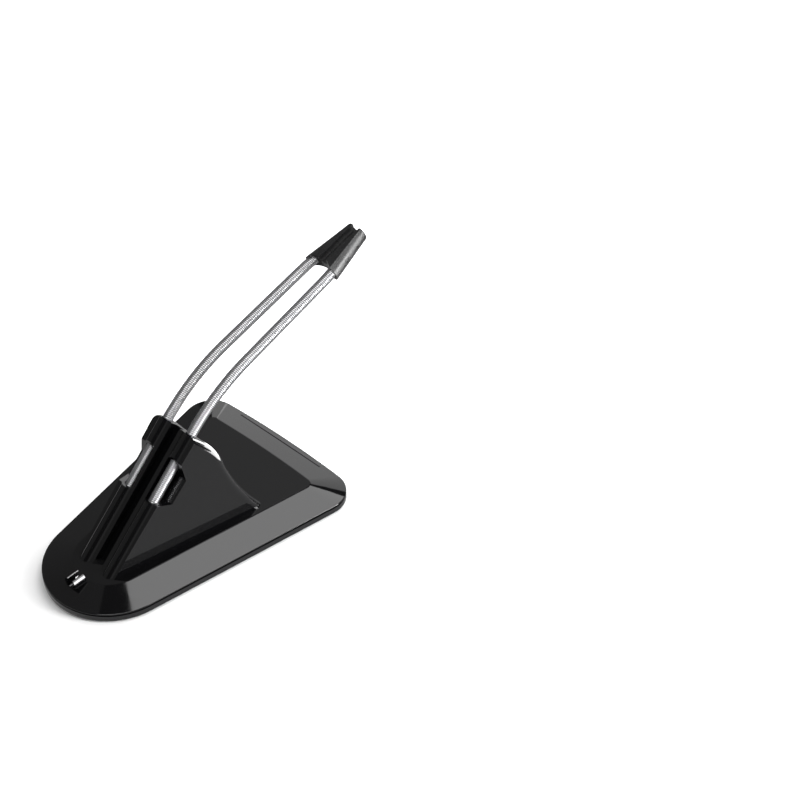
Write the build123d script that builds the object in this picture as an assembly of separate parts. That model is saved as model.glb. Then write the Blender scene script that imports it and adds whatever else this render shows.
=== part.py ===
from build123d import *
from math import cos, radians, sin, sqrt, tan
import os

# Mouse bungee: a weighted base, a tower, two close-wound springs and a head that grips the cord.
# Frame: +X forwards over the desk, +Y left, +Z up, in millimetres.
# The pieces are drawn with X = 0 at the middle of the base and moved at the end,
# so that the origin is the middle of the whole part's box, on the desk.

# Base: a rounded triangle with a bevelled edge
base_length = 150.0
rear_radius = 34.0
side_taper = 10.3           # degrees that each side spreads towards the front
front_radius = 600.0        # the front edge is a slight bow
corner_radius = 14.2
foot_stand = 0.8            # gap between desk and tray
edge_height = 5.7           # where the bevel starts
deck_height = 9.9
bevel_width = 15.2
deck_corner_radius = 4.2
deck_edge_round = 2.0       # between deck and bevel
rim_edge_round = 0.4        # between bevel and upright edge
shell = 2.2                 # wall of every moulding
seam_drop = 0.5             # the cover's share of the upright edge
seam_gap = 0.9              # height of the shadow gap between cover and tray
seam_gap_depth = 0.9
rim_land = 4.2              # flat underside of the cover's rim
tongue_width = 1.4
tongue_depth = 1.6
tray_edge_radius = 0.8
slip = 0.15                 # clearance between pieces that nest
inner_corner = 2.0          # smallest corner of an inset outline

# Plain line let into the front bevel
line_inset = 3.7
line_half_length = 28.4
line_width = 0.7
line_depth = 0.35

# Ballast plate
ballast_thickness = 2.5
ballast_inset = 11.0

# Rubber feet
foot_radius = 8.0
foot_recess = 0.6
rear_foot_inset = 20.0
front_foot_inset = 19.0
front_foot_spread = 36.0

# Screws
screw_radius = 1.25
head_radius = 2.7
head_height = 1.6
pilot_slip = 0.05
boss_wall = 2.0
boss_slip = 0.4
case_screw_length = 5.0
tower_screw_length = 8.0
rear_case_screw_inset = 40.0
front_case_screw_inset = 24.0
front_case_screw_spread = 22.0

# Clip for the cord on the rear bevel: a ring, open at the top
clip_inset = 8.0
clip_length = 6.5
clip_bore_radius = 2.4
clip_wall = 1.3
clip_mouth = 2.8            # width of its opening
clip_sink = 0.7             # how far the ring sits in the bevel
clip_edge_round = 0.5

# Springs
spring_radius = 2.75
spring_bore_radius = 1.75
spring_spread = 8.2         # each spring's distance from the middle plane, in the tower
spring_slope = 43.0         # in the tower
spring_bend_radius = 95.0
head_slope = 16.0           # beyond the bend
spring_straight = 61.6      # from the bend to the head
spring_seat_depth = 37.4    # in the tower
spring_end_slip = 0.1

# Tower
mouth_inset = 82.2          # middle of the tower's top face, from the base's rear end
mouth_height = 60.5
rail_radius = 4.1
spine_rise = 2.7            # the spine's rear face, behind the spring axes
brow_depth = 4.9            # the top face, in front of the spring axes
spine_depth = 9.0           # solid stock in front of the spring axes
spine_half_width = 12.5     # at the foot
flank_spread = 11.6         # degrees, in plan
flank_draft = 10.7          # degrees, from upright
shoulder_reach = 10.4       # from the top face's middle forwards to where the brow turns into the sweep
shoulder_drop = 18.0        # and down to it
shoulder_slope = 80.0
toe_inset = 106.5
tower_front_round = 3.5
channel_half_width = 2.8
channel_depth = 1.5         # in front of the spring axes
window_start = 13.0         # along the springs, down from the mouth
window_floor_start = 20.0
window_floor_end = 33.0
window_depth = 4.4
window_slip = 0.4           # gap between a spring and its window's inner side
tower_boss_height = 7.0
rear_tower_screw_inset = 51.0
front_tower_screw_inset = 91.0
front_tower_screw_wall_inset = 5.8

# Head
head_length = 27.0
head_spread = 6.7           # each sleeve's distance from the middle plane, at the head's rear end
head_tip_spread = 3.5
turn_lead = 3.0             # the springs turn into their sleeves this far behind the head
turn_radius = 60.0
head_top = 4.1              # flat top, above the sleeve axes
ridge_half_width = 6.9      # the flat top's edges
ridge_tip_half_width = 3.4
cheek_half_width = 10.8     # the widest points, level with the sleeve axes
cheek_tip_half_width = 6.1
cheek_bulge = 0.5
keel_half_width = 9.7       # the underside
keel_tip_half_width = 5.2
keel_depth = 3.6
keel_tip_depth = 2.6
head_edge_round = 0.7
sleeve_seat_depth = 6.5
scoop_radius = 10.0         # hollow of the rear end, between the springs
scoop_depth = 2.8
groove_half_width = 2.2     # the cord's groove in the flat top
groove_depth = 2.9
grip_half_width = 1.2       # narrower slot in its floor, which grips the cord
grip_depth = 0.8

past = 60.0                 # how far a cut runs past the piece
rear = -base_length / 2
front = base_length / 2
seam_height = edge_height - seam_drop
floor_height = foot_stand + shell
deck_underside = deck_height - shell


def base_plan(inset, corner):
    """Outline of the base in plan, drawn inside its edge by inset."""
    taper = radians(side_taper)
    along = Vector(cos(taper), sin(taper))
    side_start = Vector(rear + rear_radius, 0) + Vector(-sin(taper), cos(taper)) * (rear_radius - inset)
    bow_centre = Vector(front - front_radius, 0)
    bow_radius = front_radius - inset
    gap = side_start - bow_centre
    run = -gap.dot(along) + sqrt(gap.dot(along) ** 2 - gap.dot(gap) + bow_radius ** 2)
    side_end = side_start + along * run
    other_start = Vector(side_start.X, -side_start.Y)
    other_end = Vector(side_end.X, -side_end.Y)
    outline = make_face([
        ThreePointArc(other_start, (rear + inset, 0), side_start),
        Line(side_start, side_end),
        ThreePointArc(side_end, (front - inset, 0), other_end),
        Line(other_end, other_start),
    ])
    return fillet(outline.vertices().sort_by(Axis.X)[-2:], corner)


def inset_plan(inset):
    """Outline at an inset whose corner stays concentric with the base's own."""
    return base_plan(inset, max(corner_radius - inset, inner_corner))


def prism(plan, bottom, top):
    return extrude(Pos(0, 0, bottom) * plan, amount=top - bottom, dir=(0, 0, 1))


def post(place, radius, bottom, top):
    return Pos(place[0], place[1], bottom) * Cylinder(
        radius, top - bottom, align=(Align.CENTER, Align.CENTER, Align.MIN))


def edges_at(body, height):
    """The level edges of a body at one height."""
    return body.edges().filter_by(lambda edge: edge.bounding_box().size.Z < slip).filter_by_position(
        Axis.Z, height - slip, height + slip)


def both_sides(x, spread):
    return [(x, spread), (x, -spread)]


case_screw_places = [(rear + rear_case_screw_inset, 0)]
case_screw_places += both_sides(front - front_case_screw_inset, front_case_screw_spread)
foot_places = {"rear_foot": (rear + rear_foot_inset, 0)}
front_feet = both_sides(front - front_foot_inset, front_foot_spread)
foot_places["left_foot"], foot_places["right_foot"] = front_feet

pilot_radius = screw_radius + pilot_slip
boss_radius = screw_radius + boss_wall
clearance_radius = screw_radius + boss_slip

# Directions along the springs: in the tower, across it in the middle plane, and beyond the bend
tower_axis = Vector(cos(radians(spring_slope)), 0, sin(radians(spring_slope)))
tower_back = Vector(-tower_axis.Z, 0, tower_axis.X)
head_axis = Vector(cos(radians(head_slope)), 0, sin(radians(head_slope)))
mouth = Vector(rear + mouth_inset, 0, mouth_height)
bend_reach = spring_bend_radius * tan(radians(spring_slope - head_slope) / 2)
bend_corner = mouth + tower_axis * bend_reach
head_start = bend_corner + head_axis * (bend_reach + spring_straight)
side_view = Plane(mouth, x_dir=tower_axis, z_dir=(0, -1, 0))

# The spine runs from the top face down to the deck, and the front screws keep to the flanks
spine_top = mouth + tower_back * spine_rise
spine_foot = spine_top - tower_axis * ((spine_top.Z - deck_height) / tower_axis.Z)
front_screw_x = rear + front_tower_screw_inset
flank_half_width = spine_half_width + (front_screw_x - spine_foot.X) * tan(radians(flank_spread))
tower_screw_places = [(rear + rear_tower_screw_inset, 0)]
tower_screw_places += both_sides(front_screw_x, flank_half_width - front_tower_screw_wall_inset)


def make_top_cover():
    """Deck and bevel in one moulding, hollow below, with the cord clip on its rear."""
    plan = base_plan(0, corner_radius)
    deck = base_plan(bevel_width, deck_corner_radius)
    cover = loft([Pos(0, 0, edge_height) * plan, Pos(0, 0, deck_height) * deck], ruled=True)
    cover += prism(plan, seam_height, edge_height)
    cover = fillet(edges_at(cover, deck_height), deck_edge_round)
    cover = fillet(edges_at(cover, edge_height), rim_edge_round)
    line_floor = edge_height + (deck_height - edge_height) * line_inset / bevel_width - line_depth
    cover -= Pos(front - line_inset, 0, line_floor) * Box(
        line_width, 2 * line_half_length, deck_height, align=(Align.CENTER, Align.CENTER, Align.MIN))
    cover += make_cord_clip()
    cover -= loft([
        Pos(0, 0, seam_height) * inset_plan(rim_land),
        Pos(0, 0, deck_underside) * deck,
    ], ruled=True)
    tongue = prism(inset_plan(shell + slip), seam_height - tongue_depth, seam_height)
    tongue -= prism(inset_plan(shell + slip + tongue_width), seam_height - tongue_depth, seam_height)
    cover += tongue
    for place in case_screw_places:
        cover += post(place, boss_radius, floor_height, deck_underside)
        cover -= post(place, pilot_radius, floor_height, deck_underside)
    for place in tower_screw_places:
        cover -= post(place, clearance_radius, deck_underside, deck_height)
    return cover


def make_cord_clip():
    """Springy open ring that keeps the cord in line with the tower's channel."""
    outer_radius = clip_bore_radius + clip_wall
    bevel_height = edge_height + (deck_height - edge_height) * clip_inset / bevel_width
    centre = Vector(rear + clip_inset, 0, bevel_height + outer_radius - clip_sink)
    ring = Circle(outer_radius) - Circle(clip_bore_radius)
    ring -= Pos(0, outer_radius) * Rectangle(clip_mouth, 2 * outer_radius)
    ring = fillet(ring.vertices(), clip_edge_round)
    return extrude(Plane(centre, x_dir=(0, 1, 0), z_dir=(1, 0, 0)) * ring, amount=clip_length)


def make_bottom_tray():
    """Floor and side wall, with seats for the feet and holes for the case screws."""
    tray = prism(base_plan(0, corner_radius), foot_stand, seam_height)
    tray = fillet(tray.faces().sort_by(Axis.Z)[0].edges(), tray_edge_radius)
    tray -= prism(base_plan(0, corner_radius) - inset_plan(seam_gap_depth), seam_height - seam_gap, seam_height)
    tray -= prism(inset_plan(shell), floor_height, seam_height)
    for place in foot_places.values():
        tray -= post(place, foot_radius + slip, foot_stand, foot_stand + foot_recess)
    for place in case_screw_places:
        tray -= post(place, clearance_radius, foot_stand, floor_height)
        tray -= post(place, head_radius + slip, foot_stand, foot_stand + head_height)
    return tray


def make_ballast_plate():
    """Steel plate on the tray's floor, with holes round the bosses and over the tower's screws."""
    top = floor_height + ballast_thickness
    plate = prism(base_plan(ballast_inset, inner_corner), floor_height, top)
    for place in case_screw_places:
        plate -= post(place, boss_radius + boss_slip, floor_height, top)
    for place in tower_screw_places:
        plate -= post(place, head_radius + boss_slip, floor_height, top)
    return plate


def make_foot(place):
    foot = post(place, foot_radius, 0, foot_stand + foot_recess)
    return chamfer(foot.faces().sort_by(Axis.Z)[0].edges(), foot_stand / 3)


def make_screws(places, seat, length):
    """Pan-head screws that point up, with the undersides of their heads on the seat."""
    screws = Part()
    for place in places:
        head = post(place, head_radius, seat - head_height, seat)
        screws += fillet(head.faces().sort_by(Axis.Z)[0].edges(), head_height / 2)
        screws += post(place, screw_radius, seat, seat + length)
    return screws


def tower_profile():
    """Side view of the tower: sloping spine, square top and an ogee front, drawn past the deck."""
    below = deck_height - 2 * shell
    brow = mouth - tower_back * brow_depth
    shoulder = Vector(mouth.X + shoulder_reach, mouth.Z - shoulder_drop)
    sweep_start = Vector(cos(radians(shoulder_slope)), -sin(radians(shoulder_slope)))
    toe = Vector(rear + toe_inset, deck_height)
    return make_face([
        Line((spine_foot.X, below), (spine_foot.X, deck_height)),
        Line((spine_foot.X, deck_height), (spine_top.X, spine_top.Z)),
        Line((spine_top.X, spine_top.Z), (brow.X, brow.Z)),
        TangentArc(shoulder, (brow.X, brow.Z), tangent=sweep_start * -1),
        TangentArc(shoulder, toe, tangent=sweep_start),
        Line(toe, (toe.X, below)),
        Line((toe.X, below), (spine_foot.X, below)),
    ])


def between_flanks(body, inset):
    """Keeps what lies between the tower's two side walls, each moved in by inset."""
    for side in (1, -1):
        outward = Vector(-tan(radians(flank_spread)), side, tan(radians(flank_draft))).normalized()
        corner = Vector(spine_foot.X, side * spine_half_width, deck_height)
        body = split(body, Plane(corner - outward * inset, z_dir=outward), keep=Keep.BOTTOM)
    return body


def spring_axis_rod(side, radius, start, end):
    """Round bar about one spring's axis in the tower, from start to end along it."""
    centre = mouth + Vector(0, side * spring_spread, 0) + tower_axis * start
    return Plane(centre, z_dir=tower_axis) * Cylinder(
        radius, end - start, align=(Align.CENTER, Align.CENTER, Align.MIN))


def make_spring_tower():
    """Hollow fin whose thick spine holds both springs, with the cord's channel between them."""
    profile = tower_profile()
    tower = between_flanks(extrude(Plane.XZ * profile, amount=past, both=True), 0)
    front_edges = [
        edge for edge in tower.edges()
        if edge.geom_type != GeomType.LINE and edge.bounding_box().size.Z > head_radius
    ]
    tower = fillet(front_edges, tower_front_round)
    hollow = extrude(Plane.XZ * offset(profile, -shell, kind=Kind.INTERSECTION), amount=past, both=True)
    hollow = between_flanks(hollow, shell)
    hollow = split(hollow, Plane(mouth - tower_back * spine_depth, z_dir=tower_back), keep=Keep.BOTTOM)
    rear_place, *front_places = tower_screw_places
    bosses = post(rear_place, boss_radius, deck_height, mouth_height)
    for place in front_places:
        bosses += post(place, boss_radius, deck_height, deck_height + tower_boss_height)
    tower = tower - hollow + (bosses & tower)

    rail_length = mouth_height / tower_axis.Z
    for side in (1, -1):
        tower += spring_axis_rod(side, rail_radius, -rail_length, 0)
    tower -= side_view * (Pos(-rail_length / 2, past / 2 - channel_depth) * Box(
        rail_length + past, past, 2 * channel_half_width))
    window = make_face(Polyline(
        (-window_start, rail_radius),
        (-window_floor_start, -window_depth),
        (-window_floor_end, -window_depth),
        (-spring_seat_depth, rail_radius),
        (-spring_seat_depth, past),
        (-window_start, past),
        close=True))
    for side in (1, -1):
        cut = extrude(side_view * window, amount=past / 2, both=True)
        tower -= Pos(0, side * (spring_spread - spring_radius - window_slip + past / 2), 0) * cut
        tower -= spring_axis_rod(side, spring_radius + slip, -spring_seat_depth, past)
    for place in tower_screw_places:
        tower -= post(place, pilot_radius, deck_height - shell, deck_height + tower_boss_height)
    return split(tower, Plane((0, 0, deck_height)), keep=Keep.TOP)


def sleeve_line(side):
    """Start and direction of one sleeve's axis, which leans in towards the tip."""
    start = head_start + Vector(0, side * head_spread, 0)
    tip = head_start + head_axis * head_length + Vector(0, side * head_tip_spread, 0)
    return start, (tip - start).normalized()


def make_spring(side):
    """Close-wound spring as a tube: straight in the tower, one bend, then in line with its sleeve."""
    sideways = Vector(0, side * spring_spread, 0)
    start, direction = sleeve_line(side)
    path = FilletPolyline(
        mouth - tower_axis * spring_seat_depth + sideways,
        bend_corner + sideways,
        start - direction * turn_lead,
        start + direction * (sleeve_seat_depth - spring_end_slip),
        radius=[spring_bend_radius, turn_radius])
    ring = Plane(path @ 0, z_dir=path % 0) * (Circle(spring_radius) - Circle(spring_bore_radius))
    return sweep(ring, path=path)


def head_section(distance):
    """Plane across the head: X to the left, Y up, at a distance from its rear end."""
    return Plane(head_start + head_axis * distance, x_dir=(0, 1, 0), z_dir=head_axis)


def towards_tip(at_rear, at_tip, distance):
    """A size that changes evenly along the head, at a distance from its rear end."""
    return at_rear + (at_tip - at_rear) * distance / head_length


def head_outline(distance):
    """Section of the head: flat top, bulging cheeks and a narrower underside."""
    ridge = towards_tip(ridge_half_width, ridge_tip_half_width, distance)
    cheek = towards_tip(cheek_half_width, cheek_tip_half_width, distance)
    keel = towards_tip(keel_half_width, keel_tip_half_width, distance)
    bottom = -towards_tip(keel_depth, keel_tip_depth, distance)
    outward = Vector(head_top, cheek - ridge).normalized()
    middle = Vector((ridge + cheek) / 2, head_top / 2) + outward * cheek_bulge
    return head_section(distance) * make_face([
        Line((-keel, bottom), (keel, bottom)),
        Line((keel, bottom), (cheek, 0)),
        ThreePointArc((cheek, 0), middle, (ridge, head_top)),
        Line((ridge, head_top), (-ridge, head_top)),
        ThreePointArc((-ridge, head_top), (-middle.X, middle.Y), (-cheek, 0)),
        Line((-cheek, 0), (-keel, bottom)),
    ])


def groove_outline():
    """Section of the cord's groove, open at the top, with the grip slot in its floor."""
    floor = head_top - groove_depth
    open_top = head_top + groove_depth
    return make_face(Polyline(
        (-grip_half_width, floor - grip_depth), (grip_half_width, floor - grip_depth),
        (grip_half_width, floor), (groove_half_width, floor),
        (groove_half_width, open_top), (-groove_half_width, open_top),
        (-groove_half_width, floor), (-grip_half_width, floor), close=True))


def make_cord_head():
    """Tapering moulding with a groove for the cord and a blind bore for each spring."""
    head = loft([head_outline(0), head_outline(head_length)], ruled=True)
    along = Axis(head_start, head_axis)
    rear_edges = head.faces().sort_by(along)[0].edges()
    head = fillet([edge for edge in head.edges() if edge not in rear_edges], head_edge_round)
    head -= extrude(head_section(-past) * groove_outline(), amount=2 * past, dir=head_axis)
    across = Vector(-head_axis.Z, 0, head_axis.X)
    head -= Plane(head_start - head_axis * (scoop_radius - scoop_depth), z_dir=across) * Cylinder(
        scoop_radius, past)
    for side in (1, -1):
        start, direction = sleeve_line(side)
        bore = Cylinder(spring_radius + slip, 2 * sleeve_seat_depth)
        head -= Plane(start, z_dir=direction) * bore
    return head


pieces = {
    "top_cover": make_top_cover(),
    "bottom_tray": make_bottom_tray(),
    "ballast_plate": make_ballast_plate(),
    "spring_tower": make_spring_tower(),
    "left_spring": make_spring(1),
    "right_spring": make_spring(-1),
    "cord_head": make_cord_head(),
    "case_screws": make_screws(case_screw_places, foot_stand + head_height, case_screw_length),
    "tower_screws": make_screws(tower_screw_places, deck_underside, tower_screw_length),
}
for name, place in foot_places.items():
    pieces[name] = make_foot(place)

overall = Compound(children=[Compound(piece.wrapped) for piece in pieces.values()]).bounding_box()
to_middle = Pos(-(overall.min.X + overall.max.X) / 2, 0, 0)
os.makedirs("parts", exist_ok=True)
for name, piece in pieces.items():
    export_step(to_middle * piece, f"parts/{name}.step")

print("moved by", to_middle.position)
for name, point in {"mouth": mouth, "bend corner": bend_corner, "head start": head_start}.items():
    print(name, (to_middle * Pos(point)).position)
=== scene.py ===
# %% [markdown]
# # A mouse bungee in polished black plastic
# A mouse bungee is a small desk stand: a heavy wedge, a fin-shaped tower, and two springs that carry a head.
# The rigid pieces come from the CAD model, in metres and in their final places.
# This lesson gives them a camera, a studio, finishes made from nodes, and springs wound from real wire.

# %% Load the CAD pieces
from math import cos, pi, radians, sin, tan

import bpy
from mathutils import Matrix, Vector


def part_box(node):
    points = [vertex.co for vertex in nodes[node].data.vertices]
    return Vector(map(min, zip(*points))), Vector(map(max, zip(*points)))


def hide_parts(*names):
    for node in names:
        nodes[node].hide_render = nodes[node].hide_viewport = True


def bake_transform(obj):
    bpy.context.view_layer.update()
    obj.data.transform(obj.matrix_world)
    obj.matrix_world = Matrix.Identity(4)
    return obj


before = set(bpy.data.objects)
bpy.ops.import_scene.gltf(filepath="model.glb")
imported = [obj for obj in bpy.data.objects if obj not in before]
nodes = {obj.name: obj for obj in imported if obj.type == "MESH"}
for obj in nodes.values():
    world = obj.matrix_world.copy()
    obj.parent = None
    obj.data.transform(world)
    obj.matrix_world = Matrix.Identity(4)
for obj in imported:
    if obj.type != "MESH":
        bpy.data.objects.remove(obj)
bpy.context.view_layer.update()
MM = 0.001
rear_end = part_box("bottom_tray")[0].x
bpy.ops.object.select_all(action="DESELECT")
print("pieces from CAD:", sorted(nodes))

# %% [markdown]
# ## Camera
# The camera looks down on the object from behind it and from its right.
# A 90 mm lens from about a metre away keeps the lines of the wedge nearly parallel.
# Its place is counted from the base's rear end, so it follows the part if the CAD frame moves.

# %% Camera
EYE_BACK, EYE_RIGHT, EYE_HEIGHT = 353.6 * MM, 542.5 * MM, 709.6 * MM
LOOK_DOWN, LOOK_LEFT = 42.56, 42.59      # degrees below level, and left of straight ahead
SENSOR, LENS = 36.0, 90.05               # millimetres, which is the camera's own unit
bpy.ops.object.camera_add(
    location=(rear_end - EYE_BACK, -EYE_RIGHT, EYE_HEIGHT),
    rotation=(radians(90 - LOOK_DOWN), 0, radians(LOOK_LEFT - 90)))
camera = bpy.context.object
camera.name = "studio_camera"
camera.data.sensor_width = SENSOR
camera.data.lens = LENS
bpy.context.scene.camera = camera
print("lens", camera.data.lens, "mm")

# %% [markdown]
# ## Colours and nodes
# Colours are written as sRGB hex codes, as in a paint program, but shaders reckon in linear light, so one
# function converts them. Materials are built from nodes, and a second function adds a node with its links.

# %% Helpers for materials
def linear(code):
    """An sRGB hex colour as the linear values that shaders use."""
    channels = [int(code[i:i + 2], 16) / 255 for i in (0, 2, 4)]
    return [c / 12.92 if c <= 0.04045 else ((c + 0.055) / 1.055) ** 2.4 for c in channels] + [1.0]


def add_node(material, kind, settings=None, inputs=None):
    """Adds one node: settings are its own fields, inputs are values or the sockets to link."""
    tree = material.node_tree
    node = tree.nodes.new(kind)
    for name, value in (settings or {}).items():
        setattr(node, name, value)
    for name, value in (inputs or {}).items():
        if isinstance(value, bpy.types.NodeSocket):
            tree.links.new(value, node.inputs[name])
        else:
            node.inputs[name].default_value = value
    return node


def new_material(name):
    """A new material and its shader."""
    material = bpy.data.materials.new(name)
    material.use_nodes = True
    return material, material.node_tree.nodes["Principled BSDF"]


print("the grey 808080 is", round(linear("808080")[0], 3), "in linear light")

# %% [markdown]
# ## Room and floor
# Polished black plastic has almost no colour of its own: what we see in it is the room.
# So the room is dim, and each light and card has its place in the plastic.
#
# The floor could be one sheet of paper, but white paper also shows in every side wall and makes them grey.
# A photographer keeps the table dark there and whitens the rest. Here two sheets do that: the camera sees
# the white paper, and reflections see a grey table top just below it. The paper glows most where the lamps
# reach least, so that it stays evenly white.

# %% Dim room
ROOM_GREY = 0.06                         # in linear light
bpy.context.scene.view_settings.view_transform = "Standard"
world = bpy.data.worlds.new("dim_room")
bpy.context.scene.world = world
world.use_nodes = True
world.node_tree.nodes["Background"].inputs["Color"].default_value = (ROOM_GREY, ROOM_GREY, ROOM_GREY, 1)
print("room grey", ROOM_GREY)

# %% White paper and grey table top
SHEET_SIZE = 8                           # metres
TABLE_DROP = 0.5 * MM
DULL = 0.9                               # roughness of both sheets
GLOW_TURN = radians(60)                  # the glow changes along this direction, from +X towards +Y
GLOW_START, GLOW_END = -60 * MM, 100 * MM
FAR_START, FAR_END = 200 * MM, 700 * MM


def lay_paper(name, height, colour, right_glow, left_glow, far_glow):
    """A large sheet whose glow changes from the rear right to the front left, and again far away."""
    bpy.ops.mesh.primitive_plane_add(size=SHEET_SIZE, location=(0, 0, height))
    sheet = bpy.context.object
    sheet.name = name
    paper, shader = new_material(name)
    place = add_node(paper, "ShaderNodeTexCoord")
    turned = add_node(paper, "ShaderNodeVectorRotate", {"rotation_type": "Z_AXIS"}, {
        "Vector": place.outputs["Object"], "Angle": -GLOW_TURN})
    along = add_node(paper, "ShaderNodeSeparateXYZ", {}, {"Vector": turned.outputs["Vector"]})
    rise = add_node(paper, "ShaderNodeMapRange", {"interpolation_type": "SMOOTHSTEP"}, {
        "Value": along.outputs["X"], "From Min": GLOW_START, "From Max": GLOW_END,
        "To Min": right_glow, "To Max": left_glow})
    reach = add_node(paper, "ShaderNodeVectorMath", {"operation": "LENGTH"}, {0: place.outputs["Object"]})
    glow = add_node(paper, "ShaderNodeMapRange", {"interpolation_type": "SMOOTHSTEP"}, {
        "Value": reach.outputs["Value"], "From Min": FAR_START, "From Max": FAR_END,
        "To Min": rise.outputs["Result"], "To Max": far_glow})
    paper.node_tree.links.new(glow.outputs["Result"], shader.inputs["Emission Strength"])
    shader.inputs["Emission Color"].default_value = linear("ffffff")
    shader.inputs["Base Color"].default_value = linear(colour)
    shader.inputs["Roughness"].default_value = DULL
    shader.inputs["Specular IOR Level"].default_value = 0.0
    sheet.data.materials.append(paper)
    return sheet


white_paper = lay_paper("white_paper", 0, "e6e6e6", right_glow=0.06, left_glow=0.9, far_glow=1.0)
white_paper.visible_glossy = white_paper.visible_shadow = False
table_top = lay_paper("grey_table_top", -TABLE_DROP, "8c8c8c", right_glow=0.45, left_glow=0.0, far_glow=0.0)
table_top.visible_camera = table_top.visible_diffuse = table_top.visible_shadow = False
print("floor sheets:", white_paper.name, table_top.name)

# %% [markdown]
# ## Softboxes
# A softbox is a lamp behind a white cloth, and shows in polished plastic as a bright panel with clean edges.
# One hangs overhead and to the right, and its left edge draws the border on the round rear end.
# Two on the right light the long bevel, the springs and the right side of the head.
# Blender's area light is such a panel. Its power is worked out from how bright it looks in a mirror, because
# that stays the same when its size or distance changes.

# %% Softboxes above and on the right
def add_softbox(name, centre, size, facing, radiance, turn=0.0):
    """Area light whose brightness is given as seen in a mirror, so that it can be matched."""
    width, height = size
    bpy.ops.object.light_add(type="AREA", location=centre)
    light = bpy.context.object
    light.name = name
    light.rotation_euler = Vector(facing).to_track_quat("-Z", "Y").to_euler()
    light.rotation_euler.rotate_axis("Z", radians(turn))
    light.data.shape = "RECTANGLE"
    light.data.size, light.data.size_y = width, height
    light.data.energy = radiance * pi * width * height
    return light


def stand_softbox(name, azimuth, elevation, distance, spread, radiance):
    """A softbox that faces the part: its direction, width and height are angles in degrees."""
    level = distance * cos(radians(elevation))
    centre = Vector((
        level * cos(radians(azimuth)), level * sin(radians(azimuth)), distance * sin(radians(elevation))))
    width = 2 * level * tan(radians(spread[0] / 2))
    height = 2 * distance * tan(radians(spread[1] / 2))
    return add_softbox(name, centre, (width, height), -centre, radiance)


HANG = 1.3                               # metres from the floor to the overhead softbox
overhead = add_softbox(
    "overhead_softbox", centre=(0.174 * HANG, -0.127 * HANG, HANG), size=(1.49 * HANG, 0.46 * HANG),
    facing=(0, 0, -1), radiance=4.1, turn=9.7)
stand_softbox("side_softbox", azimuth=-66, elevation=17, distance=1.25, spread=(18, 34), radiance=27.0)
stand_softbox("side_top", azimuth=-71, elevation=48, distance=1.3, spread=(22, 28), radiance=6.5)
print("overhead softbox", round(overhead.data.size, 2), "by", round(overhead.data.size_y, 2), "m")

# %% [markdown]
# ## Panels for the tower
# The front edge of the tower shows a thin white crescent. A bright panel low in front could draw it, but it
# would whiten the springs and the base as well. Blender can link a light to some objects only, which no real
# lamp can do, so two panels here light the tower alone.

# %% Panels that light the tower alone
PANEL_RADIANCE = 14.0
tower_only = bpy.data.collections.new("tower_only")
tower_only.objects.link(nodes["spring_tower"])
lying_panel = add_softbox(
    "lying_panel", centre=(0.27, -0.1, 0.002), size=(0.36, 0.32),
    facing=(0, 0, 1), radiance=PANEL_RADIANCE)
standing_panel = add_softbox(
    "standing_panel", centre=(0.46, -0.1, 0.05), size=(0.5, 0.1),
    facing=(-1, 0, 0), radiance=PANEL_RADIANCE)
for panel in (lying_panel, standing_panel):
    panel.light_linking.receiver_collection = tower_only
    panel.visible_camera = False

# %% [markdown]
# ## Cards and dim walls
# A card is a white board that catches light. Three cards in front show in the front bevel.
# A dim wall on the left and a lower one at the rear right keep the sides there from going fully black.
# They are weak area lights too, because a lit board and a dim lamp look alike in a reflection.

# %% Cards in front, walls on the left and at the rear
stand_softbox("front_card", azimuth=19.5, elevation=23.5, distance=1.5, spread=(43, 37), radiance=1.65)
stand_softbox("front_card_end", azimuth=44, elevation=15, distance=1.55, spread=(10, 22), radiance=1.3)
stand_softbox("front_fill", azimuth=45, elevation=44, distance=1.9, spread=(13, 30), radiance=0.27)
stand_softbox("left_wall", azimuth=105, elevation=42, distance=2.4, spread=(110, 66), radiance=0.15)
stand_softbox("rear_wall", azimuth=-128, elevation=14, distance=2.4, spread=(96, 26), radiance=0.3)

# %% [markdown]
# ## Moulded black ABS
# The base and the tower are ABS, moulded in a polished steel mould. Polished ABS reflects like clear
# varnish over a black ground, with an index of refraction of about 1.5. A mould is never perfect: the
# skin is slightly wavy over some millimetres, and handling leaves it a little less sharp in patches.
# The head has a satin skin, which spreads each reflection into a soft sheen. Its index is set above that of
# ABS, because its right side looks brighter than plain ABS would.

# %% Polished and satin plastic
NOISE_LOW, NOISE_HIGH = 0.3, 0.7         # most of a noise texture lies between these
PATCH_CONTRAST = 0.25                    # share by which the roughness differs between patches


def moulded_plastic(name, colour, refraction, roughness, patch_mm, wave_mm, wave_height_mm):
    """Moulded plastic: even colour, with patchy gloss and a slow wave in its skin."""
    material, shader = new_material(name)
    place = add_node(material, "ShaderNodeTexCoord")
    patches = add_node(material, "ShaderNodeTexNoise", {}, {
        "Vector": place.outputs["Object"], "Scale": 1 / (patch_mm * MM), "Detail": 3.0})
    gloss = add_node(material, "ShaderNodeMapRange", {}, {
        "Value": patches.outputs["Fac"], "From Min": NOISE_LOW, "From Max": NOISE_HIGH,
        "To Min": roughness * (1 - PATCH_CONTRAST), "To Max": roughness * (1 + PATCH_CONTRAST)})
    wave = add_node(material, "ShaderNodeTexNoise", {}, {
        "Vector": place.outputs["Object"], "Scale": 1 / (wave_mm * MM), "Detail": 1.0})
    skin = add_node(material, "ShaderNodeBump", {}, {
        "Height": wave.outputs["Fac"], "Distance": wave_height_mm * MM, "Strength": 1.0})
    links = material.node_tree.links
    links.new(gloss.outputs["Result"], shader.inputs["Roughness"])
    links.new(skin.outputs["Normal"], shader.inputs["Normal"])
    shader.inputs["Base Color"].default_value = linear(colour)
    shader.inputs["IOR"].default_value = refraction
    return material


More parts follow.
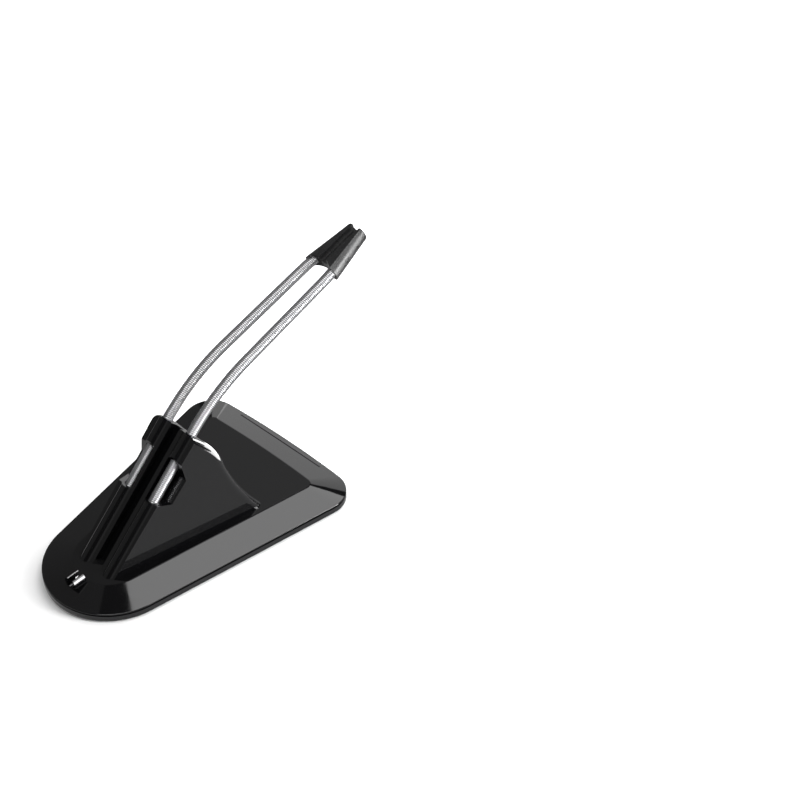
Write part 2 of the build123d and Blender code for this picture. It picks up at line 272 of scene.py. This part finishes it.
def finish_pieces(finish, *names):
    """Gives CAD pieces a finish in place of the plain one that they came with."""
    for name in names:
        nodes[name].data.materials.clear()
        nodes[name].data.materials.append(finish)
    print(finish.name, "on", *names)


polished_abs = moulded_plastic(
    "polished_black_abs", "070708", refraction=1.5, roughness=0.06,
    patch_mm=9.0, wave_mm=14.0, wave_height_mm=0.006)
satin_abs = moulded_plastic(
    "satin_black_abs", "101011", refraction=1.62, roughness=0.27,
    patch_mm=5.0, wave_mm=6.0, wave_height_mm=0.006)
finish_pieces(polished_abs, "top_cover", "bottom_tray", "spring_tower")
finish_pieces(satin_abs, "cord_head")

# %% [markdown]
# ## Rubber, zinc and primer
# The feet are moulded rubber: dark, dull and slightly dusty. The screws are zinc-plated steel, a greyish
# metal with a soft shine. The hidden ballast plate is steel with a dull grey primer. One function serves all
# three, because each is an even colour with a grain in its gloss. The grain of zinc is finer in life, and is
# drawn as coarse as it needs to show.

# %% Small finishes
def plain_finish(name, colour, metallic, roughness, grain_mm, contrast):
    """An even colour whose roughness varies with a fine grain."""
    material, shader = new_material(name)
    place = add_node(material, "ShaderNodeTexCoord")
    grain = add_node(material, "ShaderNodeTexNoise", {}, {
        "Vector": place.outputs["Object"], "Scale": 1 / (grain_mm * MM), "Detail": 4.0})
    dull = add_node(material, "ShaderNodeMapRange", {}, {
        "Value": grain.outputs["Fac"], "To Min": roughness - contrast, "To Max": roughness + contrast})
    material.node_tree.links.new(dull.outputs["Result"], shader.inputs["Roughness"])
    shader.inputs["Base Color"].default_value = linear(colour)
    shader.inputs["Metallic"].default_value = metallic
    return material


foot_rubber = plain_finish(
    "moulded_rubber", "1c1c1c", metallic=0.0, roughness=0.75, grain_mm=0.4, contrast=0.15)
zinc = plain_finish(
    "zinc_plated_steel", "b9bcbf", metallic=1.0, roughness=0.35, grain_mm=0.6, contrast=0.1)
primer = plain_finish(
    "grey_primer", "8a8b8c", metallic=0.0, roughness=0.6, grain_mm=0.5, contrast=0.15)
finish_pieces(foot_rubber, "rear_foot", "left_foot", "right_foot")
finish_pieces(zinc, "case_screws", "tower_screws")
finish_pieces(primer, "ballast_plate")

# %% [markdown]
# ## Spring wire
# Spring wire is steel that was drawn through a die, which leaves it bright, with faint marks. Real marks are
# too fine to show, so they are drawn 1.5 mm wide, and only in the gloss. On a metal, Specular Tint sets how
# bright it looks edge-on. It is lowered here to a grey, a painted shade that darkens each spring towards its
# sides.

# %% Bright spring wire
MARK_MM = 1.5
WIRE_SMOOTH, WIRE_ROUGH = 0.26, 0.34
spring_wire, wire_shader = new_material("bright_spring_wire")
wire_place = add_node(spring_wire, "ShaderNodeTexCoord")
draw_marks = add_node(spring_wire, "ShaderNodeTexNoise", {}, {
    "Vector": wire_place.outputs["Object"], "Scale": 1 / (MARK_MM * MM), "Detail": 3.0})
wire_gloss = add_node(spring_wire, "ShaderNodeMapRange", {}, {
    "Value": draw_marks.outputs["Fac"], "To Min": WIRE_SMOOTH, "To Max": WIRE_ROUGH})
spring_wire.node_tree.links.new(wire_gloss.outputs["Result"], wire_shader.inputs["Roughness"])
wire_shader.inputs["Base Color"].default_value = linear("c4c4c6")
# painted shade: this grey edge tint darkens each spring towards its sides
wire_shader.inputs["Specular Tint"].default_value = linear("a0a0a2")
wire_shader.inputs["Metallic"].default_value = 1.0
print("wire finish:", spring_wire.name)

# %% [markdown]
# ## The line of a spring
# Each spring stands in the tower, bends forwards where it leaves it, runs straight, and turns inwards into
# the head. It could be drawn by hand, but the CAD tube follows the same straight runs and arcs, so the line
# is worked out from the same sizes. A Bezier curve then follows them closely.

# %% Where the springs run
TOWER_SLOPE, HEAD_SLOPE = radians(43.0), radians(16.0)
BEND_RADIUS, STRAIGHT = 95.0 * MM, 61.6 * MM
TOWER_SPREAD, HEAD_SPREAD, TIP_SPREAD = 8.2 * MM, 6.7 * MM, 3.5 * MM
HEAD_LENGTH, TURN_LEAD, TURN_RADIUS = 27.0 * MM, 3.0 * MM, 60.0 * MM
SEAT_DEPTH, SLEEVE_DEPTH = 37.4 * MM, 6.4 * MM
MOUTH_FROM_REAR, MOUTH_HEIGHT = 82.2 * MM, 60.5 * MM
tower_axis = Vector((cos(TOWER_SLOPE), 0, sin(TOWER_SLOPE)))
head_axis = Vector((cos(HEAD_SLOPE), 0, sin(HEAD_SLOPE)))
mouth = Vector((rear_end + MOUTH_FROM_REAR, 0, MOUTH_HEIGHT))
bend_reach = BEND_RADIUS * tan((TOWER_SLOPE - HEAD_SLOPE) / 2)
bend_corner = mouth + tower_axis * bend_reach
head_start = bend_corner + head_axis * (bend_reach + STRAIGHT)
print("from the tower to the head:", round((head_start - mouth).length / MM, 1), "mm")

# %% The line that a spring follows
CURVE_STEPS = 48


def spring_line(side):
    """Bezier curve along a spring's axis, from its seat in the tower to its end in the head."""
    sideways = Vector((0, side * TOWER_SPREAD, 0))
    sleeve_start = head_start + Vector((0, side * HEAD_SPREAD, 0))
    sleeve_tip = head_start + head_axis * HEAD_LENGTH + Vector((0, side * TIP_SPREAD, 0))
    sleeve_axis = (sleeve_tip - sleeve_start).normalized()
    turn_corner = sleeve_start - sleeve_axis * TURN_LEAD
    run = (turn_corner - bend_corner - sideways).normalized()
    turn = run.angle(sleeve_axis)
    turn_reach = TURN_RADIUS * tan(turn / 2)
    stops = [
        (mouth + sideways - tower_axis * SEAT_DEPTH, tower_axis),
        (mouth + sideways, tower_axis),
        (bend_corner + sideways + run * bend_reach, run),
        (turn_corner - run * turn_reach, run),
        (turn_corner + sleeve_axis * turn_reach, sleeve_axis),
        (sleeve_start + sleeve_axis * SLEEVE_DEPTH, sleeve_axis),
    ]
    bends = [0, TOWER_SLOPE - HEAD_SLOPE, 0, turn, 0]
    bpy.ops.curve.primitive_bezier_curve_add()
    line = bpy.context.object
    line.data.dimensions = "3D"
    line.data.resolution_u = CURVE_STEPS
    points = line.data.splines[0].bezier_points
    points.add(len(stops) - len(points))
    for point, (place, _) in zip(points, stops):
        point.handle_left_type = point.handle_right_type = "FREE"
        point.co = point.handle_left = point.handle_right = place
    for i, bend in enumerate(bends):
        # handles are a third of a straight run, and 4/3 of the radius times tan(bend / 4) on an arc
        gap = (points[i + 1].co - points[i].co).length
        reach = gap / 3 if bend == 0 else gap / 2 / sin(bend / 2) * 4 / 3 * tan(bend / 4)
        points[i].handle_right = points[i].co + stops[i][1] * reach
        points[i + 1].handle_left = points[i + 1].co - stops[i + 1][1] * reach
    return line, line.data.splines[0].calc_length()


lines = {"left_spring": spring_line(1), "right_spring": spring_line(-1)}
for name, (line, length) in lines.items():
    print(name, "is", round(length / MM, 1), "mm long")

# %% [markdown]
# ## Wound springs
# Each spring is wound from steel wire with no gap between its turns. In CAD it is a plain tube.
# Here the wire is real: a small circle is swept by a Screw modifier into a straight coil, and a Curve
# modifier then bends the coil along the spring's line. The coil is made in two halves, because the
# lower half bends between tower and spring and the upper half between spring and head.

# %% How a coil is wound
WIRE, COIL_RADIUS = 0.92 * MM, 2.75 * MM
PITCH = WIRE * 1.01                      # a hair more than the wire, so that its turns don't cut each other
WIRE_SIDES, TURN_STEPS = 8, 16


def wind(name, first_turn, turns, line):
    """A helix of wire from first_turn on, bent along the line."""
    bpy.ops.object.select_all(action="DESELECT")
    bpy.ops.mesh.primitive_circle_add(
        vertices=WIRE_SIDES, radius=WIRE / 2, rotation=(pi / 2, 0, 0),
        location=(COIL_RADIUS - WIRE / 2, 0, WIRE / 2 + first_turn * PITCH))
    bpy.ops.object.transform_apply(location=True, rotation=True, scale=True)
    coil = bpy.context.object
    coil.name = name
    screw = coil.modifiers.new("wind", "SCREW")
    screw.screw_offset, screw.iterations = PITCH, turns
    screw.steps = screw.render_steps = TURN_STEPS
    screw.use_smooth_shade = True
    bend = coil.modifiers.new("bend", "CURVE")
    bend.object, bend.deform_axis = line, "POS_Z"
    for modifier in ("wind", "bend"):
        bpy.ops.object.modifier_apply(modifier=modifier)
    bpy.ops.object.mode_set(mode="EDIT")
    bpy.ops.mesh.select_all(action="SELECT")
    bpy.ops.mesh.fill_holes(sides=0)
    bpy.ops.mesh.select_all(action="SELECT")
    bpy.ops.mesh.normals_make_consistent(inside=False)
    bpy.ops.object.mode_set(mode="OBJECT")
    coil.data.materials.append(spring_wire)
    return coil


print("wire", round(WIRE / MM, 2), "mm thick, coils", round(2 * COIL_RADIUS / MM, 2), "mm across")

# %% Wind both springs
mid_run = BEND_RADIUS * (TOWER_SLOPE - HEAD_SLOPE) + STRAIGHT
lower_turns = round((SEAT_DEPTH + mid_run / 2) / PITCH)
for name, (line, length) in lines.items():
    all_turns = int((length - WIRE) / PITCH)
    lower = wind(name + "_lower_coil", 0, lower_turns, line)
    upper = wind(name + "_upper_coil", lower_turns, all_turns - lower_turns, line)
    bpy.data.objects.remove(line)
    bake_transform(lower)
    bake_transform(upper)
    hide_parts(name)
    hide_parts(name)
    print(name, "has", all_turns, "turns")
